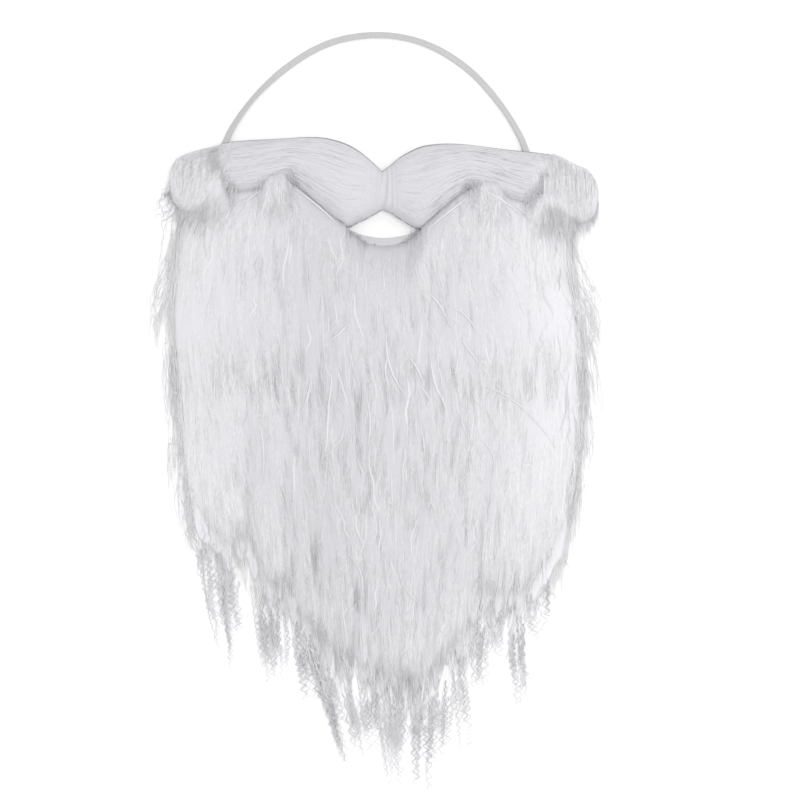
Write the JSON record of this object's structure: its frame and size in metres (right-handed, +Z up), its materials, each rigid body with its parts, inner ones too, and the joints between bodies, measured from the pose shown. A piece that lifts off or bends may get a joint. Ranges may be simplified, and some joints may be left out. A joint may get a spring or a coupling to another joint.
{
  "type": "fake beard",
  "caption": "Long white costume beard on a cloth backing with a mouth hole, a gathered moustache with a tuft at each end, and a flat elastic head strap, lying face up.",
  "frame": {"origin": "on the surface that the beard lies on, under the middle of its outline, the elastic left out", "axes": "+Z up out of the hair, away from the wearer's face; +Y from the tips of the hair to the moustache; +X to the right as seen from the front"},
  "size_m": [0.2746, 0.4578, 0.0247],
  "materials": {
    "backing_cloth": "matt woven cloth",
    "beard_hair": "soft white synthetic hair with a slight sheen",
    "moustache_hair": "combed white synthetic hair with a slight sheen",
    "elastic_webbing": "matt braided elastic"
  },
  "bodies": {
    "root": {"backing": "backing_cloth", "beard": "beard_hair", "moustache": "moustache_hair", "side_tuft_left": "beard_hair", "side_tuft_right": "beard_hair", "elastic": "elastic_webbing"}
  },
  "joints": []
}
